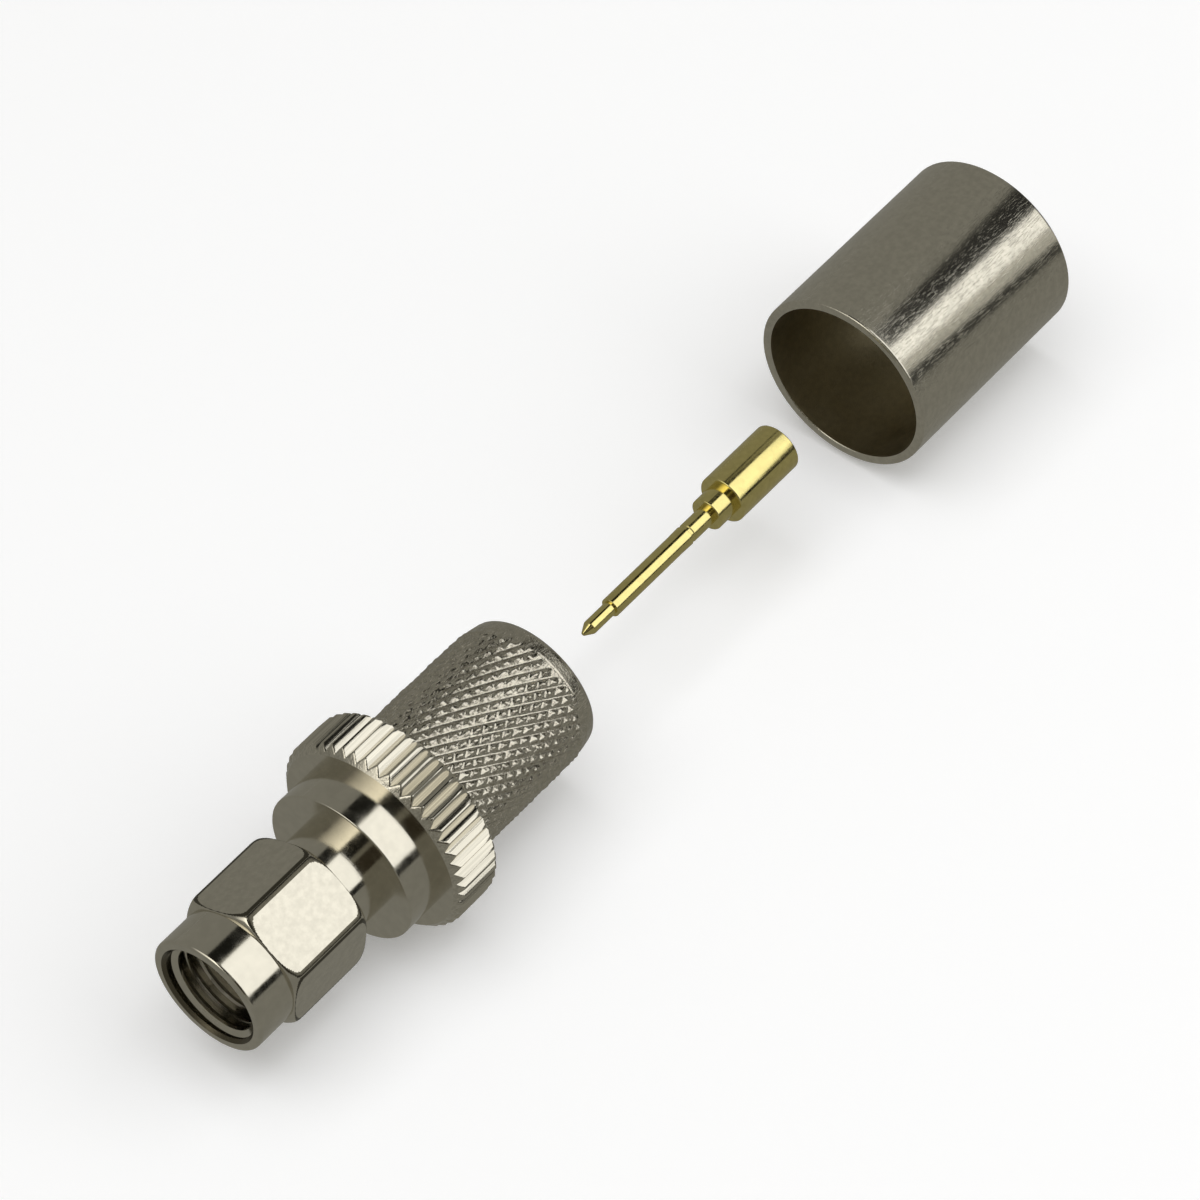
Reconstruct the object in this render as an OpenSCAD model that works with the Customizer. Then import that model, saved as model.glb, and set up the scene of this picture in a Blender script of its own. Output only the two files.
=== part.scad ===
// Male SMA crimp plug for a thick coaxial cable, taken apart on its own axis:
// the plug, its centre pin and its crimp ferrule.
// The axis is X. X = 0 is the mating face of the plug, and +X runs back
// towards the cable. Millimetres.

/* [Coupling nut] */
// Size across the flats of the hexagon
nut_flats = 8; // [7.9:0.05:8.2]
// Size across the turned corners of the hexagon
nut_corners = 9.2; // [9:0.05:9.2]
// Overall length of the nut
nut_len = 8.85; // [8.6:0.05:9]
// Length of the round collar in front of the hexagon
nut_collar_len = 2.75; // [2:0.05:3.2]
// Diameter of the round collar
nut_collar_d = 7.86; // [7.6:0.02:7.9]
// Distance from the mouth of the nut back to the mating face
mouth_to_face = 3.6; // [3.4:0.05:3.8]
// Major diameter of the 1/4-36 thread, which is the plain wall here
thread_d = 6.35; // [6.35:0.01:6.4]
// Length of the threaded wall
thread_len = 5; // [4.6:0.1:5.1]
// Diameter of the relief behind the thread, where the retaining ring runs
relief_d = 6.6; // [6.5:0.05:6.7]
// Length of the relief
relief_len = 1.95; // [1.8:0.05:2]
// Length of the turned rounds at the ends of the hexagon
hex_round = 0.85; // [0.6:0.05:1.1]
// Turn of the hexagon about the axis, in degrees
nut_turn = 35.7; // [0:0.1:60]

/* [Front body] */
// Outer diameter of the contact nose
nose_d = 4.57; // [4.5:0.01:4.59]
// Length of the contact nose, from the mating face to its shoulder
nose_len = 1.95; // [1.9:0.05:2]
// Height of the step behind the nose, where the gasket sits
nose_step = 0.465; // [0.44:0.005:0.49]
// Diameter of the neck behind the nut
neck_d = 6.4; // [6.2:0.05:6.6]
// Diameter of the step flange
flange_d = 10.26; // [10:0.02:10.5]
// Front face of the step flange, from the mating face
flange_x = 7.75; // [7.5:0.05:7.9]
// Diameter of the spigot that is pressed into the rear body
spigot_d = 8.6; // [8.4:0.05:8.8]
// Length of the spigot
spigot_len = 2.5; // [2.2:0.1:2.8]
// Bore behind the insulator's shoulder, which takes the insulator's head
rear_bore_d = 6.4; // [6.2:0.05:6.6]

/* [Rear body] */
// Front face of the knurled ring, from the mating face
ring_x = 10.25; // [10:0.05:10.5]
// Width of the knurled ring
ring_w = 3.4; // [3:0.05:3.6]
// Diameter over the tips of the knurled ring
ring_d = 13.3; // [13:0.05:13.6]
// Number of teeth on the knurled ring
ring_teeth = 48; // [40:1:60]
// Depth of the grooves between the teeth
tooth_depth = 0.36; // [0.2:0.02:0.45]
// Length of the bevel at the front ends of the teeth
ring_bevel = 0.5; // [0.3:0.02:0.6]
// Diameter over the tips of the knurled stem
stem_d = 9.8; // [9.6:0.02:9.9]
// Back end of the stem, from the mating face
stem_end_x = 25; // [24.5:0.1:26]
// Length of the smooth lip at the end of the stem
lip_len = 1.1; // [0.9:0.05:1.4]
// Bore of the stem, which takes the insulation of the cable
stem_bore_d = 7.48; // [7.3:0.02:7.6]
// Diamonds of the knurl around the stem
knurl_count = 44; // [36:1:50]
// Rows of half diamonds along the stem
knurl_rows = 17; // [12:1:20]
// Depth of the knurl
knurl_depth = 0.19; // [0.12:0.01:0.22]

/* [Insulator and seal] */
// Diameter of the front of the insulator
insulator_d = 4.1; // [4:0.02:4.16]
// Front face of the head of the insulator, from the mating face
head_x = 8; // [7.95:0.05:8.2]
// Back face of the insulator, where the collar of the pin stops
seat_x = 9.2; // [9:0.05:9.6]
// Thickness of the gasket
gasket_w = 0.6; // [0.5:0.05:0.7]

/* [Centre pin] */
// Diameter of the contact tip
tip_d = 0.92; // [0.9:0.01:0.94]
// Diameter of the shaft
shaft_d = 1.27; // [1.25:0.01:1.29]
// Length of the contact tip with its cone
tip_len = 2.55; // [2.3:0.05:2.6]
// Length of the cone at the tip
cone_len = 0.65; // [0.4:0.05:0.8]
// Largest diameter of the barb
barb_d = 1.43; // [1.4:0.01:1.5]
// Length of the barb
barb_len = 0.9; // [0.7:0.05:1]
// Length of the neck between the barb and the collar
pin_neck_len = 1.2; // [1:0.05:1.4]
// Diameter of the collar
collar_d = 2.2; // [2.1:0.05:2.4]
// Length of the collar
collar_len = 1.5; // [1.3:0.05:1.7]
// Outer diameter of the crimp barrel
crimp_d = 3.25; // [3.2:0.05:3.4]
// Bore of the crimp barrel, which takes the centre conductor
crimp_bore_d = 2.8; // [2.74:0.02:2.84]
// Length of the crimp barrel
crimp_len = 5.4; // [5:0.1:5.8]
// Place of the tip when the pin is taken out, from the mating face
pin_out_x = 29.5; // [28:0.1:33]

/* [Ferrule] */
// Bore of the crimp ferrule
ferrule_bore_d = 11; // [10.9:0.05:11.1]
// Wall of the crimp ferrule
ferrule_wall = 0.6; // [0.5:0.05:0.7]
// Length of the crimp ferrule
ferrule_len = 15.2; // [14.5:0.1:16]
// Place of its front edge when it is taken off, from the mating face
ferrule_out_x = 54.7; // [52:0.1:58]

/* [Hidden] */
$fn = 96;

NICKEL = [0.62, 0.60, 0.55];
GOLD = [0.78, 0.70, 0.40];
PTFE = [0.93, 0.92, 0.89];
SILICONE = [0.78, 0.36, 0.24];
SPRING_BRONZE = [0.72, 0.55, 0.33];

EPS = 0.01;             // overshoot of a cut past a face
GASKET_GAP = 0.02;      // radial gap of the gasket on the nose and at its rim
running = 0.05;         // gap between two pieces that turn in each other
nut_mouth_x = -mouth_to_face;
nut_back_x = nut_mouth_x + nut_len;
hex_x = nut_mouth_x + nut_collar_len;
barrel_d = nose_d + 2 * nose_step;
nut_bore_d = barrel_d + 2 * running;
relief_x = nut_mouth_x + thread_len;
relief_end_x = relief_x + relief_len;
side_gap = 0.1;         // gap at the side of a piece that is trapped endways
ring_groove_d = barrel_d - 0.8;   // root of the groove for the retaining ring
retaining_w = 0.6;      // width of the retaining ring
retaining_d = relief_d - 0.4;
retaining_bore_d = ring_groove_d + 0.2;
ring_groove_x = relief_end_x - retaining_w - 2 * side_gap;
retaining_x = relief_end_x - side_gap - retaining_w;
neck_x = nut_back_x + side_gap;
ring_back_x = ring_x + ring_w;
ferrule_d = ferrule_bore_d + 2 * ferrule_wall;
knurl_tip_r = stem_d / 2;
knurl_root_r = knurl_tip_r - knurl_depth;
knurl_end_x = stem_end_x - lip_len;
barb_x = seat_x - pin_neck_len - barb_len;   // front of the barb once seated
pin_travel = pin_out_x + tip_len;            // way from taken out to seated

// A solid of revolution about X; each point is [x, radius].
module turned(points)
  rotate([0, 90, 0]) rotate_extrude() polygon([for (p = points) [p[1], p[0]]]);

// A tube about X from x0 to x1.
module tube(x0, x1, d_out, d_in)
  turned([[x0, d_in / 2], [x0, d_out / 2], [x1, d_out / 2], [x1, d_in / 2]]);

// A solid rod about X from x0 to x1.
module rod(x0, x1, d) translate([x0, 0, 0]) rotate([0, 90, 0]) cylinder(d = d, h = x1 - x0);

// Points of a quarter round of radius r about [cx, cr], from angle a0 to a1.
function round_points(cx, cr, r, a0, a1, n = 4) =
  [for (i = [0:n]) let (a = a0 + (a1 - a0) * i / n) [cx + r * cos(a), cr + r * sin(a)]];

// Points of a quarter of an ellipse from radius r0 at the end face x up to r1,
// `long` along the axis, from angle a0 to a1.
function hex_end(x, long, r0, r1, a0, a1, n = 6) =
  [for (i = [0:n]) let (a = a0 + (a1 - a0) * i / n) [x + long * (1 - cos(a)), r0 + (r1 - r0) * sin(a)]];

module coupling_nut() color(NICKEL) {
  corner_r = nut_corners / 2;
  back_r = nut_flats / 2 + 0.1;     // circle where the back bevel meets the back face
  rim = 0.3;            // round of the outer rim at the mouth
  entry = 0.3;          // bevel where the thread begins
  difference() {
    union() {
      turned(concat([[nut_mouth_x, 0]],
        round_points(nut_mouth_x + rim, nut_collar_d / 2 - rim, rim, 180, 90),
        [[hex_x + EPS, nut_collar_d / 2], [hex_x + EPS, 0]]));
      intersection() {
        rotate([nut_turn, 0, 0]) translate([hex_x, 0, 0]) rotate([0, 90, 0])
          linear_extrude(nut_back_x - hex_x)
            rotate(30) circle(d = nut_flats / cos(30), $fn = 6);
        turned(concat([[hex_x, 0]],
          hex_end(hex_x, hex_round, nut_collar_d / 2, corner_r, 0, 90),
          hex_end(nut_back_x, -hex_round, back_r, corner_r, 90, 0), [[nut_back_x, 0]]));
      }
    }
    rod(nut_mouth_x - EPS, relief_x, thread_d);
    rod(relief_x - EPS, relief_end_x, relief_d);
    rod(relief_end_x - EPS, nut_back_x + EPS, nut_bore_d);
    turned([[nut_mouth_x - EPS, 0], [nut_mouth_x - EPS, thread_d / 2 + entry + EPS],
      [nut_mouth_x + entry, thread_d / 2], [nut_mouth_x + entry, 0]]);
  }
}

module retaining_ring() color(SPRING_BRONZE) {
  slit = 0.9;           // opening of the open ring
  slit_turn = -60;
  difference() {
    tube(retaining_x, retaining_x + retaining_w, retaining_d, retaining_bore_d);
    rotate([slit_turn, 0, 0]) translate([retaining_x - EPS, 0, -slit / 2])
      cube([retaining_w + 2 * EPS, retaining_d, slit]);
  }
}

module gasket() color(SILICONE)
  tube(nose_len - gasket_w, nose_len, barrel_d - 2 * GASKET_GAP, nose_d + 2 * GASKET_GAP);

module front_body() color(NICKEL) {
  edge = 0.12;          // small bevel on the edge of the flange
  nose_edge = 0.08;     // small bevel on the edge of the nose
  difference() {
    turned([
      [0, insulator_d / 2], [0, nose_d / 2 - nose_edge], [nose_edge, nose_d / 2],
      [nose_len, nose_d / 2],
      [nose_len, barrel_d / 2], [ring_groove_x, barrel_d / 2],
      [ring_groove_x, ring_groove_d / 2], [relief_end_x, ring_groove_d / 2],
      [relief_end_x, barrel_d / 2], [neck_x, barrel_d / 2],
      [neck_x, neck_d / 2], [flange_x, neck_d / 2],
      [flange_x, flange_d / 2 - edge], [flange_x + edge, flange_d / 2],
      [ring_x, flange_d / 2], [ring_x, spigot_d / 2],
      [ring_x + spigot_len, spigot_d / 2], [ring_x + spigot_len, 0], [0, 0]]);
    rod(-EPS, head_x + EPS, insulator_d);
    rod(head_x, ring_x + spigot_len + EPS, rear_bore_d);
  }
}

// Outline of the toothed ring: flat-topped teeth with narrow vee grooves.
module teeth_outline() {
  pitch = 360 / ring_teeth;
  tip = ring_d / 2;
  root = tip - tooth_depth;
  polygon([for (i = [0:ring_teeth - 1])
    for (corner = [[0.0, root], [0.3, tip], [0.62, tip], [0.92, root]])
      let (a = (i + corner[0]) * pitch) corner[1] * [cos(a), sin(a)]]);
}

// The knurl: a sleeve whose outside is a grid that steps between the groove
// crossings and the points of the diamonds. Each square of the grid is split
// along the groove.
module knurl_sleeve(x0, x1, inner_r) {
  cols = 2 * knurl_count;
  rows = knurl_rows;
  function at(r, c, x) = [x, r * cos(360 * c / cols), r * sin(360 * c / cols)];
  function outer_r(c, j) = j == 0 || j == rows || (c + j) % 2 == 0 ? knurl_root_r : knurl_tip_r;
  function id(c, j) = j * cols + c % cols;
  function low(c, j) = rows * cols + cols + (j == 0 ? 0 : cols) + c % cols;
  points = concat(
    [for (j = [0:rows]) for (c = [0:cols - 1]) at(outer_r(c, j), c, x0 + (x1 - x0) * j / rows)],
    [for (x = [x0, x1]) for (c = [0:cols - 1]) at(inner_r, c, x)]);
  side = [for (j = [0:rows - 1]) for (c = [0:cols - 1])
    for (t = (c + j) % 2 == 0
      ? [[id(c, j), id(c + 1, j + 1), id(c + 1, j)], [id(c, j), id(c, j + 1), id(c + 1, j + 1)]]
      : [[id(c, j), id(c, j + 1), id(c + 1, j)], [id(c + 1, j), id(c, j + 1), id(c + 1, j + 1)]]) t];
  ends = [for (c = [0:cols - 1]) for (t = [
    [id(c, 0), id(c + 1, 0), low(c + 1, 0)], [id(c, 0), low(c + 1, 0), low(c, 0)],
    [id(c, rows), low(c, rows), low(c + 1, rows)], [id(c, rows), low(c + 1, rows), id(c + 1, rows)],
    [low(c, 0), low(c + 1, 0), low(c + 1, rows)], [low(c, 0), low(c + 1, rows), low(c, rows)]]) t];
  polyhedron(points, concat(side, ends));
}

module rear_body() color(NICKEL) {
  lip_r = knurl_root_r + 0.04;
  lip_round = 0.55;     // round of the lip at the end of the stem
  lip_arc = 30;         // angle where that round meets the end face
  core_r = knurl_root_r - 0.06;     // solid core under the knurl
  core_x = ring_x + 1;  // front end of the core, inside the ring
  back_edge = 0.2;      // bevel at the back ends of the teeth
  sleeve_lap = 0.25;    // how deep the knurl is let into the core
  sleeve_in = 0.5;      // how far the knurl runs on inside the ring
  tip = ring_d / 2;
  difference() {
    union() {
      intersection() {
        translate([ring_x, 0, 0]) rotate([0, 90, 0]) linear_extrude(ring_w) teeth_outline();
        turned([[ring_x, 0], [ring_x, tip - ring_bevel], [ring_x + ring_bevel, tip],
          [ring_back_x - back_edge, tip], [ring_back_x, tip - back_edge], [ring_back_x, 0]]);
      }
      turned(concat([[core_x, 0], [core_x, core_r],
        [knurl_end_x, core_r], [knurl_end_x, lip_r]],
        round_points(stem_end_x - lip_round, lip_r - lip_round, lip_round, 90, lip_arc),
        [[stem_end_x, lip_r - lip_round], [stem_end_x, 0]]));
      knurl_sleeve(ring_back_x - sleeve_in, knurl_end_x + 0.05, core_r - sleeve_lap);
    }
    rod(ring_x - EPS, ring_x + spigot_len, spigot_d);
    rod(ring_x, stem_end_x + EPS, stem_bore_d);
  }
}

module insulator() color(PTFE) {
  hole_d = shaft_d + 0.06;
  barb_hole_d = barb_d + 0.09;
  turned([[0, hole_d / 2], [0, insulator_d / 2], [head_x, insulator_d / 2],
    [head_x, rear_bore_d / 2], [seat_x, rear_bore_d / 2], [seat_x, barb_hole_d / 2],
    [barb_x, barb_hole_d / 2], [barb_x, hole_d / 2]]);
}

// The pin as it lies when seated, with its shoulder flush with the mating face.
module seated_pin() {
  edge = 0.1;           // bevel on the ends of the crimp barrel
  point_r = 0.12;       // flat end of the tip
  web = 0.4;            // solid end wall in front of the crimp bore
  collar_x = seat_x + collar_len;
  back_x = collar_x + crimp_len;
  difference() {
    turned([[-tip_len, 0], [-tip_len, point_r], [cone_len - tip_len, tip_d / 2], [0, tip_d / 2],
      [0, shaft_d / 2], [barb_x, shaft_d / 2], [barb_x + barb_len, barb_d / 2],
      [barb_x + barb_len, shaft_d / 2], [seat_x, shaft_d / 2], [seat_x, collar_d / 2],
      [collar_x, collar_d / 2], [collar_x, crimp_d / 2 - edge], [collar_x + edge, crimp_d / 2],
      [back_x - edge, crimp_d / 2], [back_x, crimp_d / 2 - edge], [back_x, 0]]);
    rod(collar_x + web, back_x + EPS, crimp_bore_d);
  }
}

module centre_pin() color(GOLD) translate([pin_travel, 0, 0]) seated_pin();

module crimp_ferrule() color(NICKEL) {
  edge = 0.15;          // bevel on the edges of both ends
  back_x = ferrule_out_x + ferrule_len;
  turned([[ferrule_out_x + edge, ferrule_bore_d / 2], [ferrule_out_x, ferrule_bore_d / 2 + edge],
    [ferrule_out_x, ferrule_d / 2 - edge], [ferrule_out_x + edge, ferrule_d / 2],
    [back_x - edge, ferrule_d / 2], [back_x, ferrule_d / 2 - edge],
    [back_x, ferrule_bore_d / 2 + edge], [back_x - edge, ferrule_bore_d / 2]]);
}

coupling_nut();
retaining_ring();
gasket();
front_body();
rear_body();
insulator();
centre_pin();
crimp_ferrule();
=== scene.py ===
# %% [markdown]
# # A male SMA crimp plug, taken apart on its own axis
#
# Three things lie in one line along X: the plug with its hexagonal coupling
# nut and knurled stem, the gold centre pin that is soldered or crimped to the
# cable's core, and the ferrule that is crimped over the braid. On the real
# thing all of them are turned on a lathe and plated, so almost every shape
# here is an outline spun about the X axis.
#
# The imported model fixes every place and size, in metres. This script leaves
# its shapes alone and adds what the eye wants: fine edges, a real thread, a knurl with
# worn points, plating, light and a camera.

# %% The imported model
import math

import bmesh
import bpy
from mathutils import Matrix, Vector, noise


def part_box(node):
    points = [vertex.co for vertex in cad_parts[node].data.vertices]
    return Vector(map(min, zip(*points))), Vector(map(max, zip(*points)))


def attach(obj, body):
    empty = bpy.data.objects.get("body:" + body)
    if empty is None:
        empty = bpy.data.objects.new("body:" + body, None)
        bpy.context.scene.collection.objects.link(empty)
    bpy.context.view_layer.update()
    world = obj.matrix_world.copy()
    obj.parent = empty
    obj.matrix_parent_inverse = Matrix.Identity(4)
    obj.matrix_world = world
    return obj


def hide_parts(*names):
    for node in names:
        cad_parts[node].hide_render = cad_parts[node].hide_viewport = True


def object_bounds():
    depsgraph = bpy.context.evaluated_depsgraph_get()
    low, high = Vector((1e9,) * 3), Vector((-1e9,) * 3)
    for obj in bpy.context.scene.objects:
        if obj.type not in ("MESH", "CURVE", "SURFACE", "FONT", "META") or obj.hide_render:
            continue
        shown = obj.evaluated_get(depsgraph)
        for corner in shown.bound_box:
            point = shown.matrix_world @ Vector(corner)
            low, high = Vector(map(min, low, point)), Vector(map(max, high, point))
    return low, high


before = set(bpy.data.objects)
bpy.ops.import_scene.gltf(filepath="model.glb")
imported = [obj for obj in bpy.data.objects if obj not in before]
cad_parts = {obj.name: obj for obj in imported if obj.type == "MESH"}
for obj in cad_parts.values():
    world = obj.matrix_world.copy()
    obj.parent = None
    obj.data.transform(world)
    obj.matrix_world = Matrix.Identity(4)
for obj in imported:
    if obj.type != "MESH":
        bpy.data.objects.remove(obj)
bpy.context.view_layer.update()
scene = bpy.context.scene
print("the model's own nodes:", ", ".join(sorted(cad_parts)))

# %% [markdown]
# ## Places along the axis
#
# A turned part is drawn as distances along its axis and radii, so the script
# works in millimetres along X. The ends of each piece are read from the packed
# model. The radii that a box can't tell are written down once, with the piece
# that they belong to.

# %% Places along the axis
MM = 0.001


def span(node):
    """The lowest and highest X of a node, in millimetres."""
    low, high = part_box(node)
    return low.x / MM, high.x / MM


nut_front, nut_back = span("coupling_nut")
face, spigot_end = span("front_body")
ring_front, stem_end = span("rear_body")
pin_front, pin_back = span("centre_pin")
ferrule_front, ferrule_back = span("crimp_ferrule")
print(f"nut {nut_front:.2f} to {nut_back:.2f}, stem ends at {stem_end:.2f}, "
      f"pin {pin_front:.2f} to {pin_back:.2f}, ferrule {ferrule_front:.2f} to {ferrule_back:.2f} mm")

# %% [markdown]
# ## The camera
#
# The pieces are seen from above, from the nut's side and a little in front, so
# that the axis runs up to the right across the square picture. A long lens
# from 0.3 m keeps the lines of such small parts nearly parallel. The camera is
# put on a line through a point near the middle of the group and turned by two
# angles, which is easier to adjust than a look-at point.

# %% The camera
view_azimuth = math.radians(-51.4)
view_elevation = math.radians(50.2)
view_distance = 0.3
view_middle = Vector((31.1, 0, 1.63)) * MM
towards_camera = Vector((math.sin(view_azimuth) * math.cos(view_elevation),
                         -math.cos(view_azimuth) * math.cos(view_elevation),
                         math.sin(view_elevation)))
camera = bpy.data.objects.new("camera", bpy.data.cameras.new("camera"))
camera.data.lens = 154.6
camera.data.sensor_width = 36
camera.data.clip_start = 0.01
camera.location = view_middle + towards_camera * view_distance
camera.rotation_euler = (math.pi / 2 - view_elevation, 0, view_azimuth)
scene.collection.objects.link(camera)
scene.camera = camera
scene.view_settings.view_transform = "Standard"
print("camera at", [round(value, 3) for value in camera.location])

# %% [markdown]
# ## Tools for turned shapes
#
# No edge on a plated part is truly sharp: it has a tiny round that catches the
# light, and without it metal looks like paper. The rounds could be made with a
# Bevel modifier on the finished piece, but on a spun shape it is simpler to
# round the corners of the outline before it is spun. Each corner is written as
# its place along the axis, its radius and the size of its round. Next to each
# arc goes one extra point, which keeps the smooth shading of the arc from
# bleeding into the flat or the cylinder beside it.

# %% Rounded outlines
ARC_STEPS = 4
SUPPORT = 0.02          # distance from an arc to the extra point beside it


def rounded(corners):
    """An outline of (x, radius) points from corners of (x, radius, round)."""
    points = []
    for i, (x, radius, size) in enumerate(corners):
        here = Vector((x, radius))
        if size == 0:
            points.append(here)
            continue
        before = (Vector(corners[i - 1][:2]) - here).normalized()
        after = (Vector(corners[(i + 1) % len(corners)][:2]) - here).normalized()
        start = here + before * size
        end = here + after * size
        points.append(start + before * SUPPORT)
        for step in range(ARC_STEPS + 1):
            t = step / ARC_STEPS
            points.append(start * (1 - t) ** 2 + here * 2 * t * (1 - t) + end * t ** 2)
        points.append(end + after * SUPPORT)
    return points


print("a square corner becomes", len(rounded([(0, 0, 0.2)])), "points")

# %% [markdown]
# The spin operator is a lathe: the outline is swept once round the axis. The
# last copy falls on the first, so both are merged, and so are the points that
# sit on the axis itself. The faces are then told which side is out. Edges that
# fold by more than about a third of a right angle stay crisp, and the rest are
# shaded smoothly.

# %% The lathe
SHARP = math.radians(32)


def turned(points, steps=192, closed=True):
    """Spin an outline once about the X axis, as a lathe does."""
    mesh = bmesh.new()
    outline = [mesh.verts.new((x * MM, 0, radius * MM)) for x, radius in points]
    following = outline[1:] + (outline[:1] if closed else [])
    edges = [mesh.edges.new(pair) for pair in zip(outline, following)]
    bmesh.ops.spin(mesh, geom=outline + edges, cent=(0, 0, 0), axis=(1, 0, 0),
                   angle=2 * math.pi, steps=steps, use_merge=True)
    bmesh.ops.remove_doubles(mesh, verts=mesh.verts, dist=0.0001 * MM)
    bmesh.ops.recalc_face_normals(mesh, faces=mesh.faces)
    return mesh


def make_piece(name, mesh, node, body, slot, *materials, crisp=SHARP):
    """Turn a finished mesh into a piece that stands for a node and rides on its body."""
    for edge in mesh.edges:
        edge.smooth = edge.calc_face_angle(0) < crisp
    for loop_face in mesh.faces:
        loop_face.smooth = True
    open_edges = sum(not edge.is_manifold for edge in mesh.edges)
    data = bpy.data.meshes.new(name)
    mesh.to_mesh(data)
    mesh.free()
    piece = bpy.data.objects.new(name, data)
    for material in materials:
        data.materials.append(material)
    scene.collection.objects.link(piece)
    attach(piece, body)
    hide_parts(node)
    print(f"{name}: {len(data.polygons)} faces, {open_edges} open edges")


# %% [markdown]
# Where a shape isn't round, such as the hexagon, the teeth and the knurl, the
# cylinder is still spun first and its points are then moved in or out. Two
# radii meet there, and a plain minimum of the two would leave a hard line. This
# eased minimum blends them, which gives the edge its round.

# %% An eased minimum
def eased_min(a, b, blend):
    """The lesser of a and b, rounded off where they are closer than blend."""
    overlap = max(blend - abs(a - b), 0) / blend
    return min(a, b) - overlap * overlap * blend / 4


def radius_of(vert):
    """Distance of a point from the axis, in millimetres."""
    return math.hypot(vert.co.y, vert.co.z) / MM


def move_to_radius(vert, radius):
    """Move a point straight in or out to a radius in millimetres."""
    factor = radius / radius_of(vert)
    vert.co.y *= factor
    vert.co.z *= factor


def evenly(start, end, count):
    """Places from start to end, both included."""
    return [start + (end - start) * i / count for i in range(count + 1)]


print("eased minimum of 1 and 1.05:", round(eased_min(1, 1.05, 0.2), 3))

# %% [markdown]
# ## Finishes
#
# Every finish is made of nodes that read the piece's own coordinates, so it
# needs no picture. The helpers below make the three things that each of them
# uses: noise that can be stretched, a range that turns the noise into a
# roughness or a height, and a bump. The coordinates are in metres, so a scale
# of 10000 gives marks about a tenth of a millimetre across.

# %% Helpers for finishes
def new_finish(name, colour, metallic, roughness):
    """A material with its shader's plain values set."""
    material = bpy.data.materials.new(name)
    material.use_nodes = True
    shader = material.node_tree.nodes["Principled BSDF"]
    shader.inputs["Base Color"].default_value = (*colour, 1)
    shader.inputs["Metallic"].default_value = metallic
    shader.inputs["Roughness"].default_value = roughness
    return material, material.node_tree, shader


def grain(tree, scale, stretch=(1, 1, 1), turn=(0, 0, 0), detail=3.0):
    """Noise on the piece's own coordinates, stretched and turned."""
    place = tree.nodes.new("ShaderNodeTexCoord")
    mapping = tree.nodes.new("ShaderNodeMapping")
    mapping.inputs["Rotation"].default_value = turn
    mapping.inputs["Scale"].default_value = stretch
    texture = tree.nodes.new("ShaderNodeTexNoise")
    texture.inputs["Scale"].default_value = scale
    texture.inputs["Detail"].default_value = detail
    tree.links.new(place.outputs["Object"], mapping.inputs["Vector"])
    tree.links.new(mapping.outputs["Vector"], texture.inputs["Vector"])
    return texture.outputs["Fac"]


def ranged(tree, value, low, high, to_low, to_high):
    """Map a value from one range to another."""
    node = tree.nodes.new("ShaderNodeMapRange")
    node.inputs["From Min"].default_value = low
    node.inputs["From Max"].default_value = high
    node.inputs["To Min"].default_value = to_low
    node.inputs["To Max"].default_value = to_high
    tree.links.new(value, node.inputs["Value"])
    return node.outputs["Result"]


def tinted(tree, value, dark, light):
    """A colour between dark and light."""
    node = tree.nodes.new("ShaderNodeMix")
    node.data_type = "RGBA"
    node.inputs["A"].default_value = (*dark, 1)
    node.inputs["B"].default_value = (*light, 1)
    tree.links.new(value, node.inputs["Factor"])
    return node.outputs["Result"]


def mottle(tree, shader, value, colour, amount):
    """Let the colour wander by a share of itself."""
    dark = [channel * (1 - amount) for channel in colour]
    light = [channel * (1 + amount) for channel in colour]
    tone = tinted(tree, ranged(tree, value, 0.35, 0.65, 0, 1), dark, light)
    tree.links.new(tone, shader.inputs["Base Color"])


def summed(tree, first, second):
    """The sum of two heights."""
    node = tree.nodes.new("ShaderNodeMath")
    node.operation = "ADD"
    tree.links.new(first, node.inputs[0])
    tree.links.new(second, node.inputs[1])
    return node.outputs["Value"]


def bumped(tree, shader, height, depth, strength=1.0):
    """Drive the shader's normal from a height of 0 to 1 that is depth millimetres deep."""
    node = tree.nodes.new("ShaderNodeBump")
    node.inputs["Strength"].default_value = strength
    node.inputs["Distance"].default_value = depth * MM
    tree.links.new(height, node.inputs["Height"])
    tree.links.new(node.outputs["Normal"], shader.inputs["Normal"])


print("finish helpers ready")

# %% [markdown]
# ### Bright nickel
#
# Nickel plate is a warm, slightly yellow grey. Under it are the fine rings that
# the lathe tool left, so the noise is squeezed along the axis and long around
# it. The roughness wanders a little, as polished plate does where it has been
# handled.

# %% Bright nickel
NICKEL = (0.62, 0.59, 0.505)
nickel, tree, shader = new_finish("bright_nickel", NICKEL, 1, 0.14)
rings = grain(tree, 1000, stretch=(14, 0.3, 0.3), detail=2)
wear = grain(tree, 1400, detail=4)
mottle(tree, shader, wear, NICKEL, 0.04)
tree.links.new(ranged(tree, wear, 0.3, 0.7, 0.09, 0.18), shader.inputs["Roughness"])
bumped(tree, shader, summed(tree, ranged(tree, rings, 0.3, 0.7, 0, 0.35), wear), 0.0022)
print("bright nickel on", len(tree.nodes), "nodes")

# %% [markdown]
# ### Tumbled nickel
#
# The nut's flats and the ferrule were tumbled with other parts before and after
# plating. That leaves a satin skin of short scratches in all directions. One
# stretched noise gives scratches in one direction, so three are turned against
# each other, and a narrow range keeps only their crests.

# %% Tumbled nickel
def scratches(tree, turn, cut):
    """Thin lines in one direction, 0 or 1."""
    lines = grain(tree, 1500, stretch=(0.8, 9, 9), turn=turn, detail=1)
    return ranged(tree, lines, cut, cut + 0.05, 0, 0.5)


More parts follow.
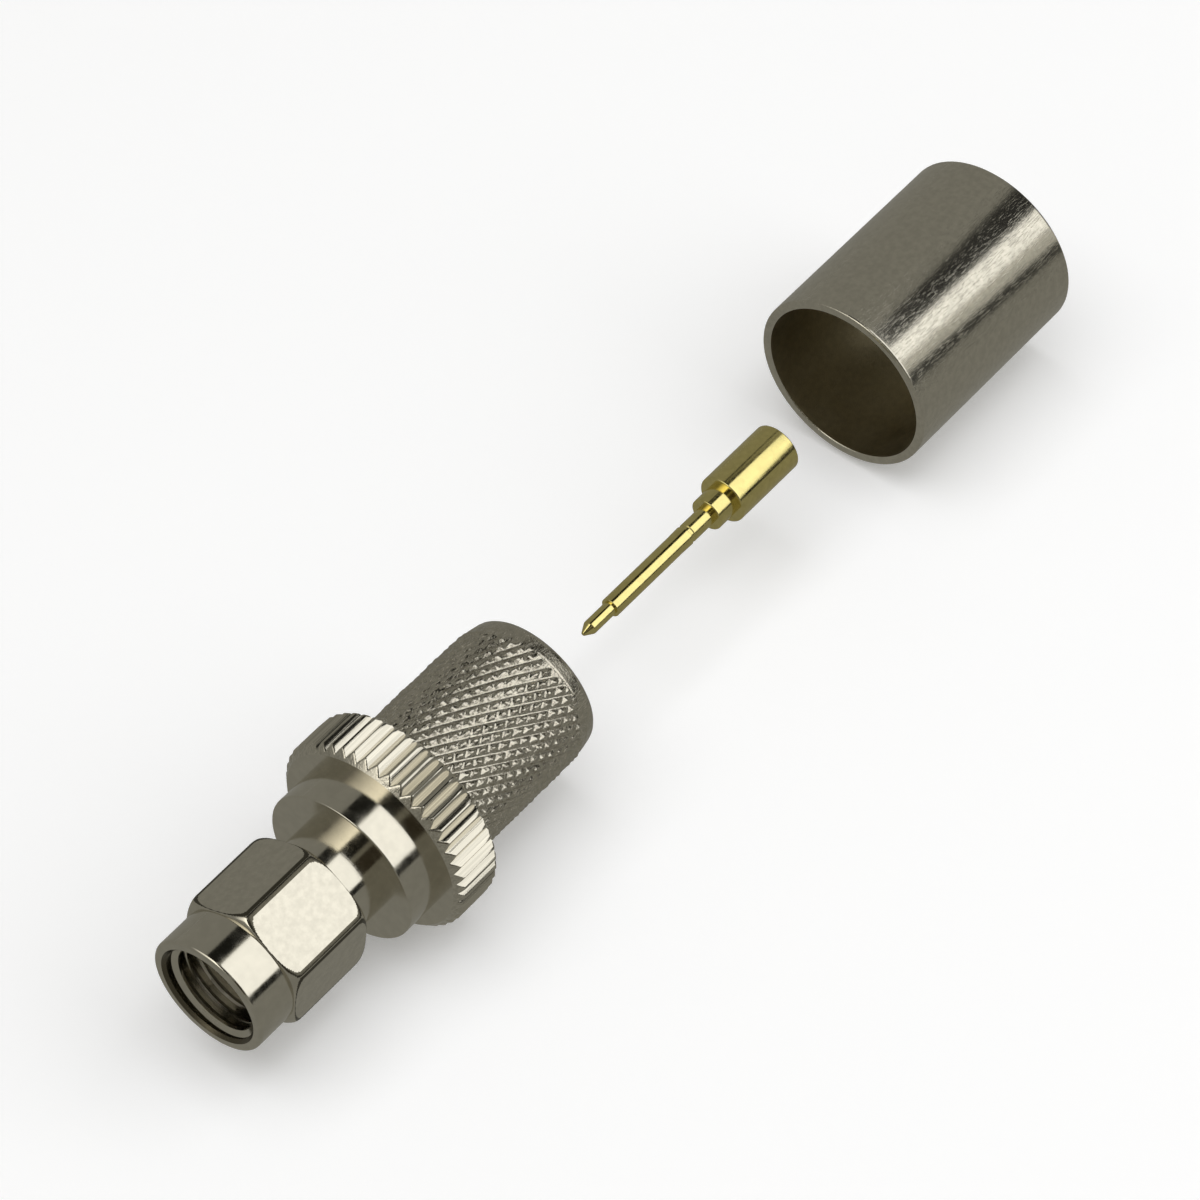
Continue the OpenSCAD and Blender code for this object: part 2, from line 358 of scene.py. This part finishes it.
def tumbled(name, low, high, depth, colour):
    """Plate with a satin skin, whose roughness runs from low to high."""
    material, tree, shader = new_finish(name, colour, 1, (low + high) / 2)
    skin = grain(tree, 7000, detail=3)
    patches = grain(tree, 700, detail=3)
    height = skin
    for turn in ((0.4, 0.3, 0.9), (1.5, 0.8, -0.6), (2.4, -0.5, 0.2)):
        height = summed(tree, height, scratches(tree, turn, 0.64))
    mottle(tree, shader, grain(tree, 2600, detail=5), colour, 0.06)
    tree.links.new(ranged(tree, patches, 0.3, 0.7, low, high), shader.inputs["Roughness"])
    bumped(tree, shader, height, depth)
    print(name, "on", len(tree.nodes), "nodes")
    return material


satin_nickel = tumbled("satin_nickel", 0.17, 0.21, 0.004, NICKEL)
flat_nickel = tumbled("flat_nickel", 0.16, 0.2, 0.0022, NICKEL)
knurl_nickel = tumbled("knurl_nickel", 0.14, 0.22, 0.012, (0.56, 0.53, 0.45))
# A rougher copy of the plate for the bores of the stem and the ferrule: a duller finish, with a darker,
# browner colour that is painted shade inside the hollows.
dull_bore_and_painted_shade = tumbled("dull_bore_and_painted_shade", 0.4, 0.5, 0.004, (0.42, 0.37, 0.25))
# A near-black copy of the plate, painted on the nut's thread wall as shade inside its mouth.
painted_shade_bore = tumbled("painted_shade_bore", 0.2, 0.3, 0.004, (0.13, 0.115, 0.08))
# A near-black copy of the plate, painted beside the hexagon's flats as a dark reflection line.
painted_dark_reflection = tumbled("painted_dark_reflection", 0.2, 0.3, 0.004, (0.1, 0.092, 0.068))

# %% [markdown]
# The teeth of the ring were pressed by a wheel that slid a little, so their
# sides carry fine streaks along the axis.

# %% Pressed nickel
pressed_nickel, tree, shader = new_finish("pressed_nickel", NICKEL, 1, 0.16)
streaks = grain(tree, 1300, stretch=(0.1, 6, 6), detail=3)
mottle(tree, shader, streaks, NICKEL, 0.12)
tree.links.new(ranged(tree, streaks, 0.3, 0.7, 0.1, 0.22), shader.inputs["Roughness"])
bumped(tree, shader, streaks, 0.014)
print("pressed nickel on", len(tree.nodes), "nodes")

# %% [markdown]
# ### Gold, PTFE, silicone and bronze
#
# The pin's gold is thin and a little greenish, over nickel, with lathe rings
# like those above. The insulator is PTFE, which is white, waxy and never quite
# clean. The gasket is plain silicone rubber, and the open retaining ring inside
# the nut is unplated phosphor bronze.

# %% Gold
GOLD = (0.76, 0.66, 0.27)
gold, tree, shader = new_finish("thin_gold", GOLD, 1, 0.2)
rings = grain(tree, 1000, stretch=(16, 0.4, 0.4), detail=2)
wear = grain(tree, 2500, detail=4)
mottle(tree, shader, wear, GOLD, 0.06)
tree.links.new(ranged(tree, wear, 0.3, 0.7, 0.11, 0.2), shader.inputs["Roughness"])
bumped(tree, shader, summed(tree, rings, wear), 0.0014)
print("gold on", len(tree.nodes), "nodes")


# %% PTFE, silicone and bronze
def soft_finish(name, dark, light, metallic, low, high, scale, depth):
    """A finish that wanders between two tones and two roughnesses."""
    material, tree, shader = new_finish(name, light, metallic, high)
    wander = grain(tree, scale, detail=4)
    tone = tinted(tree, ranged(tree, wander, 0.3, 0.7, 0, 1), dark, light)
    tree.links.new(tone, shader.inputs["Base Color"])
    tree.links.new(ranged(tree, wander, 0.3, 0.7, low, high), shader.inputs["Roughness"])
    bumped(tree, shader, wander, depth)
    print(name, "on", len(tree.nodes), "nodes")
    return material


ptfe = soft_finish("waxy_ptfe", (0.86, 0.85, 0.81), (0.93, 0.92, 0.89), 0, 0.35, 0.5, 2500, 0.01)
silicone = soft_finish("silicone", (0.66, 0.27, 0.17), (0.78, 0.36, 0.24), 0, 0.5, 0.65, 4000, 0.02)
bronze = soft_finish("plain_bronze", (0.62, 0.45, 0.26), (0.74, 0.57, 0.35), 1, 0.25, 0.4, 3000, 0.01)
for name, material in (("insulator", ptfe), ("gasket", silicone), ("retaining_ring", bronze)):
    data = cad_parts[name].data
    data.materials.clear()
    data.materials.append(material)
    print(name, "wears", material.name)

# %% [markdown]
# ## The coupling nut
#
# The nut is turned from round bar, so its hexagon is milled into a cylinder
# whose ends were rounded first. That order leaves the curved ends of the flats.
# The script follows it: the rounded cylinder is spun, and every point that
# stands proud of the nearest flat is then drawn in to it. The rows are close
# together where a round and a flat meet and far apart along the straight middle.
# The flats get the tumbled finish, and the rest of the nut stays bright, except
# the thread's wall, which gets painted shade. Just off each flat, where its edge
# begins to turn away, a painted dark reflection runs as a dark line in the plate's
# colour, and the crest between two such lines is bright again.

# %% The nut's outline
collar_length = 2.75
collar_radius = 3.93
corner_radius = 4.6
flat_radius = 4.0
end_round = 0.85        # length of the rounds at the hexagon's ends
back_radius = 4.1
thread_wall = 3.175
relief_radius = 3.3
nut_bore = 2.8
entry = 0.2             # bevel where the thread begins
thread_end = nut_front + 5
relief_end = thread_end + 1.95
hexagon_front = nut_front + collar_length
round_rows = 20


def elliptic(end, way, end_radius, steps):
    """A quarter of an ellipse from the hexagon's end face up to its corners."""
    return [(end + way * end_round * (1 - math.cos(angle)),
             end_radius + (corner_radius - end_radius) * math.sin(angle))
            for angle in evenly(0, math.pi / 2, steps)]


outer = rounded([(nut_front, collar_radius - 0.6, 0), (nut_front, collar_radius, 0.22),
                 (hexagon_front, collar_radius, 0)])[1:-1]
front_round = elliptic(hexagon_front, 1, collar_radius, round_rows)
middle = [(x, corner_radius) for x in evenly(hexagon_front + end_round, nut_back - end_round, 10)]
back_round = elliptic(nut_back, -1, back_radius, round_rows)[::-1]
inner = [(nut_back, nut_bore), (relief_end, nut_bore), (relief_end, relief_radius),
         (thread_end, relief_radius), (thread_end, thread_wall), (nut_front + entry, thread_wall),
         (nut_front, thread_wall + entry)]
nut_outline = outer + front_round + middle[1:] + back_round[1:] + inner
print("the nut's outline has", len(nut_outline), "points")

# %% The nut
nut_turn = math.radians(35.7)
edge_turn = math.radians(1.2)   # eases the corner from one flat to the next
corner_blend = 0.24             # width over which a round and a flat run into each other
# The dark line beside each flat is a painted dark reflection, put into the plate's colour.
painted_line_start = math.radians(7)    # how far a face has turned where the dark line begins
painted_line_stop = math.radians(25)


def flat_distance(vert):
    """Radius at which the hexagon's nearest flat lies in this point's direction."""
    angle = math.atan2(-vert.co.y, vert.co.z) - nut_turn
    half = math.pi / 6
    to_corner = abs((angle + half) % (2 * half) - half) - half
    return flat_radius / math.cos(max(half - math.hypot(to_corner, edge_turn), 0))


def in_painted_dark_line(loop_face):
    """Whether a face has turned far enough from the nearest flat to get the painted dark reflection line."""
    middle_of_face = loop_face.calc_center_median()
    if middle_of_face.x / MM < hexagon_front or radius_of(loop_face.verts[0]) < flat_radius - 0.1:
        return False
    sixth = math.pi / 3
    angle = math.atan2(-middle_of_face.y, middle_of_face.z) - nut_turn
    towards = round(angle / sixth) * sixth + nut_turn
    tilt = loop_face.normal.angle(Vector((0, -math.sin(towards), math.cos(towards))))
    return painted_line_start < tilt < painted_line_stop


mesh = turned(nut_outline, steps=480)
for vert in mesh.verts:
    radius = radius_of(vert)
    if radius > collar_radius - 0.01 and vert.co.x / MM > hexagon_front - 0.01:
        move_to_radius(vert, eased_min(radius, flat_distance(vert), corner_blend))
mesh.normal_update()
for loop_face in mesh.faces:
    on_flat = all(abs(radius_of(vert) - flat_distance(vert)) < 0.015 for vert in loop_face.verts)
    if on_flat and loop_face.calc_center_median().x / MM > hexagon_front:
        loop_face.material_index = 1
    # The thread's wall gets the near-black copy: painted shade.
    if all(radius_of(vert) < thread_wall + entry + 0.01 for vert in loop_face.verts):
        loop_face.material_index = 2
    # The faces just off each flat get the painted dark reflection.
    if in_painted_dark_line(loop_face):
        loop_face.material_index = 3
make_piece("coupling_nut_shell", mesh, "coupling_nut", "nut", "nickel",
           nickel, flat_nickel, painted_shade_bore, painted_dark_reflection)

# %% [markdown]
# ## The coupling thread
#
# Inside the nut is a 1/4-36 UNS thread: 36 turns to the inch, with ridges that
# are flat on top and lean at 30 degrees on each side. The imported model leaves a
# plain wall at the thread's outer diameter, so the ridge can stand on it. It is
# one small outline swept round and along the axis at the same time, which is
# what the spin operator does when it is given a step to move by. The ends are
# drawn out to nothing, as a cutter leaves them.

# %% The coupling thread
pitch = 25.4 / 36
thread_crest = 2.84
steps_per_turn = 72
thread_start = nut_front + 0.36
turns = int((thread_end - 0.45 - thread_start) / pitch * steps_per_turn) / steps_per_turn
steps = round(turns * steps_per_turn)
foot = 0.305            # half the width of the ridge where it stands on the wall
top = 0.088             # half the width of its flat top
ridge = [(-foot, thread_wall + 0.02), (-top, thread_crest), (top, thread_crest), (foot, thread_wall + 0.02)]

mesh = bmesh.new()
corners = [mesh.verts.new(((thread_start + x) * MM, 0, radius * MM)) for x, radius in ridge]
section = mesh.faces.new(corners)
bmesh.ops.spin(mesh, geom=[section], cent=(0, 0, 0), axis=(1, 0, 0),
               dvec=(pitch / steps_per_turn * MM, 0, 0), angle=2 * math.pi * turns, steps=steps)
fade = 0.25             # turns over which each end of the ridge runs out
for vert in mesh.verts:
    angle = math.atan2(-vert.co.y, vert.co.z) / (2 * math.pi)
    along = (vert.co.x / MM - thread_start) / pitch
    done = angle + round(along - angle)
    rise = min(done / fade, (turns - done) / fade, 1)
    radius = radius_of(vert)
    if radius < thread_wall:
        move_to_radius(vert, thread_wall + 0.01 - (thread_wall + 0.01 - radius) * max(rise, 0.02))
bmesh.ops.recalc_face_normals(mesh, faces=mesh.faces)
make_piece("coupling_thread", mesh, "coupling_nut", "nut", "nickel", nickel)
print(f"{turns:.2f} turns of {pitch:.3f} mm")

# %% [markdown]
# ## The front body
#
# The front body is what the nut hangs on: a nose that meets the jack, a step
# for the gasket, the barrel with a groove for the retaining ring, a neck and a
# wide step flange. Its back end is a spigot that is pressed into the knurled
# body. All of it is one outline. The inside corners at the neck and at the ring
# stay sharp, because two pieces or two cuts of the lathe tool meet there.

# %% The front body
insulator_radius = 2.05
nose_radius = 2.285
barrel_radius = 2.75
groove_radius = 2.35
neck_radius = 3.2
flange_radius = 5.13
spigot_radius = 4.3
rear_bore = 3.2
nose_end = face + 1.95
groove_front = relief_end - 0.8
neck_front = nut_back + 0.1
flange_front = face + 7.75
head_front = face + 8

front_corners = [
    (face, insulator_radius, 0.02), (face, nose_radius, 0.06), (nose_end, nose_radius, 0),
    (nose_end, barrel_radius, 0.05), (groove_front, barrel_radius, 0.03), (groove_front, groove_radius, 0),
    (relief_end, groove_radius, 0), (relief_end, barrel_radius, 0.03), (neck_front, barrel_radius, 0),
    (neck_front, neck_radius, 0.05), (flange_front, neck_radius, 0), (flange_front, flange_radius, 0.1),
    (ring_front, flange_radius, 0), (ring_front, spigot_radius, 0), (spigot_end, spigot_radius, 0.05),
    (spigot_end, rear_bore, 0.05), (head_front, rear_bore, 0), (head_front, insulator_radius, 0)]
make_piece("front_shell", turned(rounded(front_corners)), "front_body", "plug", "nickel", nickel)

# %% [markdown]
# ## The rear body
#
# The rear body is one turned piece with two kinds of knurl. It is built as a
# plain tube with a soft lip, on which the toothed ring and the diamond knurl
# sit as bands of their own, because each band then has just the rows and columns
# of points that its pattern needs.

# %% The stem and its lip
core_radius = 4.6
sunk = 0.02             # how far the bands of teeth and diamonds reach into the tube
stem_bore = 3.74
lip_radius = 4.75
lip_length = 1.1
lip_round = 0.45
lip_taper = 0.2
knurl_end = stem_end - lip_length

stem_corners = [
    (ring_front, spigot_radius, 0), (ring_front, core_radius, 0), (knurl_end - 0.3, core_radius, 0),
    (knurl_end, lip_radius, 0.1), (stem_end, lip_radius - lip_taper, lip_round), (stem_end, stem_bore, 0.08),
    (spigot_end, stem_bore, 0), (spigot_end, spigot_radius, 0)]
mesh = turned(rounded(stem_corners))
# The bore gets the duller copy, whose darker colour is painted shade.
for loop_face in mesh.faces:
    if all(radius_of(vert) < stem_bore + 0.01 for vert in loop_face.verts):
        loop_face.material_index = 1
make_piece("stem_tube", mesh, "rear_body", "plug", "nickel", knurl_nickel, dull_bore_and_painted_shade)

# %% [markdown]
# The toothed ring is a straight knurl: a wheel with ridges is pressed into the
# turning ring and leaves vee grooves along it, with narrow lands between them.
# The grooves run out through the bevel at the front, which points the end of
# each tooth. The height of a tooth is worked out from how far a point is from
# the tooth's middle, as a share of the pitch.

# %% The toothed ring
ring_back = ring_front + 3.4
ring_tip = 6.65
tooth_count = 48
tooth_depth = 0.36
ring_bevel = 0.5
back_edge = 0.2
tooth_blend = 0.1       # round where a tooth meets the bevel
columns_per_tooth = 16


def tooth_height(angle):
    """Height of the teeth at an angle, from 0 in a groove to 1 on a land."""
    off_middle = abs((angle * tooth_count / (2 * math.pi)) % 1 - 0.5)
    return 1 - (2 * off_middle) ** 1.25


ring_rows = (evenly(ring_front, ring_front + ring_bevel + 0.1, 14)
             + evenly(ring_front + ring_bevel + 0.1, ring_back - back_edge, 5)[1:]
             + evenly(ring_back - back_edge, ring_back, 5)[1:])
ring_outline = ([(ring_front, core_radius - sunk)] + [(x, ring_tip) for x in ring_rows]
                + [(ring_back, core_radius - sunk)])
mesh = turned(ring_outline, steps=tooth_count * columns_per_tooth)
for vert in mesh.verts:
    if radius_of(vert) > ring_tip - 0.01:
        x = vert.co.x / MM
        angle = math.atan2(vert.co.z, vert.co.y)
        tooth = ring_tip - tooth_depth * (1 - tooth_height(angle))
        bevel = min(ring_tip - ring_bevel + x - ring_front, ring_tip - back_edge + ring_back - x)
        move_to_radius(vert, eased_min(tooth, bevel, tooth_blend))
mesh.normal_update()
for loop_face in mesh.faces:
    loop_face.material_index = int(abs(loop_face.normal.x) > 0.9)
make_piece("toothed_ring", mesh, "rear_body", "plug", "nickel", pressed_nickel, nickel,
           crisp=math.radians(40))

# %% [markdown]
# The diamond knurl is pressed by two wheels whose ridges lean to the left and
# to the right, so the metal between the two sets of grooves is left as small
# pyramids. The points never come up quite sharp: they are flattened and a
# little torn. Here the height is the lesser of two slanting waves, of which the
# second is shallower. It is cut off at the top, and a gentle noise makes no two
# points alike.

# %% The diamond knurl
knurl_count = 44
knurl_half_rows = 17
knurl_tip = 4.9
knurl_depth = 0.19
knurl_front = ring_back - 0.5
knurl_back = knurl_end + 0.04
columns_per_diamond = 11
rows_per_half = 9


def wave(value):
    """A groove at every whole number and a crest of 1 half way between."""
    return 1 - abs(2 * (value % 1) - 1)


rows = knurl_half_rows * rows_per_half
knurl_outline = ([(knurl_front, core_radius - sunk)]
                 + [(x, knurl_tip) for x in evenly(knurl_front, knurl_back, rows)]
                 + [(knurl_back, core_radius - sunk)])
mesh = turned(knurl_outline, steps=knurl_count * columns_per_diamond)
for vert in mesh.verts:
    if radius_of(vert) > knurl_tip - 0.01:
        along = (vert.co.x / MM - knurl_front) / (knurl_back - knurl_front)
        lengthwise = along * knurl_half_rows / 2
        around = math.atan2(vert.co.z, vert.co.y) / (2 * math.pi) * knurl_count
        height = min(wave(around - lengthwise), 0.3 + 0.8 * wave(around + lengthwise))
        pressed = 0.92 + 0.3 * noise.noise(vert.co * 900)
        worn = eased_min(height, pressed, 0.12)
        torn = (0.34 * noise.noise(vert.co * 2400) + 0.22 * noise.noise(vert.co * 6000)) * worn
        end_fade = min((1 - along) * knurl_half_rows, 1)
        reached = min(max(worn + torn, 0), 1)
        move_to_radius(vert, knurl_tip - knurl_depth * (1 - reached * end_fade))
make_piece("diamond_knurl", mesh, "rear_body", "plug", "nickel", knurl_nickel)

# %% [markdown]
# ## The centre pin
#
# The pin is one long outline that starts and ends on the axis: a cone, the
# contact tip, the shaft with its barb, a collar and a hollow crimp barrel. The
# barb is a low saw tooth with a shallow groove behind it, and grips the insulator
# when the pin is pushed home.

# %% The centre pin
tip_radius = 0.46
shaft_radius = 0.635
barb_radius = 0.66
collar = 1.1
barrel = 1.625
barrel_bore = 1.4
cone_back = pin_front + 0.65
shaft_front = pin_front + 2.55
collar_front = shaft_front + 9.2
collar_back = collar_front + 1.5
barb_back = collar_front - 2.1
barb_front = barb_back - 0.9
undercut = 0.575        # radius of the shallow groove behind the barb
bore_bottom = collar_back + 0.4

pin_corners = [
    (pin_front, 0, 0), (pin_front, 0.12, 0.03), (cone_back, tip_radius, 0.08),
    (shaft_front, tip_radius, 0), (shaft_front, shaft_radius, 0.05), (barb_front, shaft_radius, 0),
    (barb_back, barb_radius, 0.02), (barb_back, undercut, 0), (barb_back + 0.25, undercut, 0),
    (barb_back + 0.3, shaft_radius, 0), (collar_front, shaft_radius, 0),
    (collar_front, collar, 0.08), (collar_back, collar, 0), (collar_back, barrel, 0.1),
    (pin_back, barrel, 0.06), (pin_back, barrel_bore, 0.06), (bore_bottom, barrel_bore, 0),
    (bore_bottom, 0, 0)]
make_piece("centre_pin_turned", turned(rounded(pin_corners), steps=96, closed=False),
           "centre_pin", "pin", "gold", gold)

# %% [markdown]
# ## The crimp ferrule
#
# The ferrule is a short tube cut from drawn stock, with its edges broken. It is
# tumbled with the other small parts, so it is the most scratched of them.

# %% The crimp ferrule
ferrule_bore = 5.5
ferrule_radius = 6.1
ferrule_corners = [
    (ferrule_front, ferrule_bore, 0.12), (ferrule_front, ferrule_radius, 0.15),
    (ferrule_back, ferrule_radius, 0.15), (ferrule_back, ferrule_bore, 0.12)]
mesh = turned(rounded(ferrule_corners))
# The bore gets the duller copy, whose darker colour is painted shade.
for loop_face in mesh.faces:
    middle_of_face = loop_face.calc_center_median()
    if math.hypot(middle_of_face.y, middle_of_face.z) / MM < ferrule_bore + 0.01:
        loop_face.material_index = 1
make_piece("crimp_ferrule_turned", mesh, "crimp_ferrule", "ferrule", "nickel_satin",
           satin_nickel, dull_bore_and_painted_shade)

# %% [markdown]
# ## Floor and light
#
# Polished metal has no colour of its own to show: what one sees in it is the
# room. Each cylinder here carries one bright strip with a dark band on either
# side of it, and is an even grey elsewhere. The strip is a wide softbox, the
# dark bands are dark flags beside it, and the grey is a plain room. The strip's
# place on a cylinder follows from the direction of the softbox around the axis,
# so the lamps are placed by that angle, measured from the side that faces the
# camera.

# %% Directions around the axis
along_axis = Vector((1, 0, 0))
facing = Vector((0, towards_camera.y, towards_camera.z)).normalized()
rightward = Vector((0, -facing.z, facing.y))
middle_of_group = Vector(((nut_front + ferrule_back) / 2 * MM, 0, 0))


def around_axis(degrees, lean=0.5):
    """A direction at an angle around the axis, leaning along it by a share of 1."""
    angle = math.radians(degrees)
    side = facing * math.cos(angle) + rightward * math.sin(angle)
    return along_axis * lean + side * math.sqrt(1 - lean * lean)


def facing_group(direction, distance, centre=middle_of_group, aside=(0, 0)):
    """A placement that looks at a point from a distance, moved aside around and along the axis."""
    away = direction.normalized()
    across = along_axis.cross(away).normalized()
    turn = Matrix((across, away.cross(across), away)).transposed().to_4x4()
    return Matrix.Translation(centre + away * distance) @ turn @ Matrix.Translation((*aside, 0))


print("the camera's side of the axis:", [round(value, 2) for value in facing])


# %% Lamps
def add_lamp(name, direction, distance, around, along, brightness, in_metal=True):
    """A lamp that looks as bright as asked, whatever its size around and along the axis."""
    lamp = bpy.data.lights.new(name, "AREA")
    lamp.shape = "RECTANGLE"
    lamp.size = around
    lamp.size_y = along
    lamp.energy = brightness * math.pi * around * along
    holder = bpy.data.objects.new(name, lamp)
    holder.matrix_world = facing_group(direction, distance)
    holder.visible_camera = False
    holder.visible_glossy = in_metal
    scene.collection.objects.link(holder)
    print(name, "gives", round(lamp.energy, 2), "W")


add_lamp("softbox", around_axis(12, lean=0.37), 0.5, 0.62, 0.43, 1.18)
add_lamp("overhead", Vector((-0.2, 0.1, 1)), 0.8, 0.8, 0.8, 1.7, in_metal=False)

world = bpy.data.worlds.new("grey_room")
scene.world = world
world.use_nodes = True
ROOM_GREY = (0.243, 0.238, 0.212, 1)
world.node_tree.nodes["Background"].inputs["Color"].default_value = ROOM_GREY

# %% [markdown]
# The floor is a plain pale sheet under the lowest point of the ring. It glows a
# little where it is looked at or mirrored, so that it comes out nearly white and
# keeps the shadows. Metal this close to a white floor would turn white
# underneath, so a grey card lies on it that only reflections see. The black,
# brown and dark flags are seen in the same way. None is part of the object.

# %% Floor, card and flags
def add_sheet(name, width, height, placement, colour, glow):
    """A flat sheet of the set: diffuse, or glowing evenly at its colour."""
    sheet_mesh = bmesh.new()
    bmesh.ops.create_grid(sheet_mesh, x_segments=1, y_segments=1, size=0.5)
    bmesh.ops.scale(sheet_mesh, vec=(width, height, 1), verts=sheet_mesh.verts)
    bmesh.ops.transform(sheet_mesh, matrix=placement, verts=sheet_mesh.verts)
    data = bpy.data.meshes.new(name)
    sheet_mesh.to_mesh(data)
    sheet_mesh.free()
    sheet = bpy.data.objects.new(name, data)
    material, _, sheet_shader = new_finish(name, (0, 0, 0) if glow else colour, 0, 0.9)
    if glow:
        sheet_shader.inputs["Specular IOR Level"].default_value = 0
        sheet_shader.inputs["Emission Color"].default_value = (*colour, 1)
        sheet_shader.inputs["Emission Strength"].default_value = 1
        sheet.visible_camera = False
        sheet.visible_diffuse = False
        sheet.visible_shadow = False
    data.materials.append(material)
    scene.collection.objects.link(sheet)
    return sheet


BLACK = (0.012, 0.012, 0.01)
BROWN = (0.05, 0.042, 0.03)
DARK = (0.08, 0.076, 0.065)
floor_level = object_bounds()[0].z
floor = add_sheet("floor", 6, 6, Matrix.Translation((0, 0, floor_level)), (0.92, 0.925, 0.95), glow=False)
tree = floor.data.materials[0].node_tree
path = tree.nodes.new("ShaderNodeLightPath")
shader = tree.nodes["Principled BSDF"]
shader.inputs["Emission Color"].default_value = (1, 1, 1, 1)
seen = summed(tree, path.outputs["Is Camera Ray"],
              summed(tree, path.outputs["Is Glossy Ray"], path.outputs["Is Transmission Ray"]))
lift = ranged(tree, seen, 0, 1, 0, 0.2)
tree.links.new(lift, shader.inputs["Emission Strength"])
print(f"the floor lies at {floor_level / MM:.2f} mm")
add_sheet("grey_card", 3, 3, Matrix.Translation((0, 0, floor_level + 0.0002)), ROOM_GREY[:3], glow=True)
for name, degrees, lean, width, height, colour in (
        ("left_flag", -38, 0.5, 0.24, 1.1, BLACK), ("right_flag", 54, 0.5, 0.11, 1.1, BLACK),
        ("camera_side", -13, -0.5, 0.26, 0.3, BLACK), ("dark_coat", 26, -0.5, 0.3, 0.5, BROWN),
        ("end_flag", 12, 0.82, 0.6, 0.17, DARK)):
    add_sheet(name, width, height, facing_group(around_axis(degrees, lean), 0.62), colour, glow=True)
    print(f"{name} stands {degrees} degrees around the axis")

# %% [markdown]
# A square inside corner sends light back the way it came, as a bicycle's
# reflector does, so the corners at the neck and the ring don't show the softbox
# but what stands near the camera. There stands a card that is bright at one
# edge and fades to the grey of the room.

# %% Fading card
fading_from = around_axis(-58, lean=-0.66)
fading_card = add_sheet("fading_card", 0.5, 0.38, facing_group(fading_from, 0.5), (1, 0.97, 0.89), glow=True)
tree = fading_card.data.materials[0].node_tree
place = tree.nodes.new("ShaderNodeTexCoord")
across_card = tree.nodes.new("ShaderNodeVectorMath")
across_card.operation = "DOT_PRODUCT"
across_card.inputs[1].default_value = along_axis.cross(fading_from).normalized()
tree.links.new(place.outputs["Object"], across_card.inputs[0])
bright_edge = 2.1
strength = ranged(tree, across_card.outputs["Value"], -0.2, 0.2, ROOM_GREY[0], bright_edge)
tree.links.new(strength, tree.nodes["Principled BSDF"].inputs["Emission Strength"])
print("the fading card glows from", ROOM_GREY[0], "to", bright_edge)

# %% [markdown]
# The ferrule is the widest piece, so the softbox would fill too much of it. On
# a real table one holds small cards close to it. Four of them stand side by
# side 32 mm from it: a grey one and a black one cut the strip from the left, a
# dimmer one takes the glare off its right half, and a black one ends it.

# %% Cards beside the ferrule
DIM = (0.56, 0.55, 0.5)
ferrule_middle = Vector(((ferrule_front + ferrule_back) / 2 * MM, 0, 0))
for name, start, end, colour in (
        ("grey_side_card", -0.036, -0.0115, ROOM_GREY[:3]), ("black_side_card", -0.0115, 0.0018, BLACK),
        ("dim_side_card", 0.0125, 0.0218, DIM), ("black_end_card", 0.0218, 0.032, BLACK)):
    place = facing_group(around_axis(4, 0.57), 0.032, ferrule_middle, ((start + end) / 2, 0.0065))
    add_sheet(name, end - start, 0.037, place, colour, glow=True)
    print(f"{name} is {(end - start) / MM:.1f} mm wide")
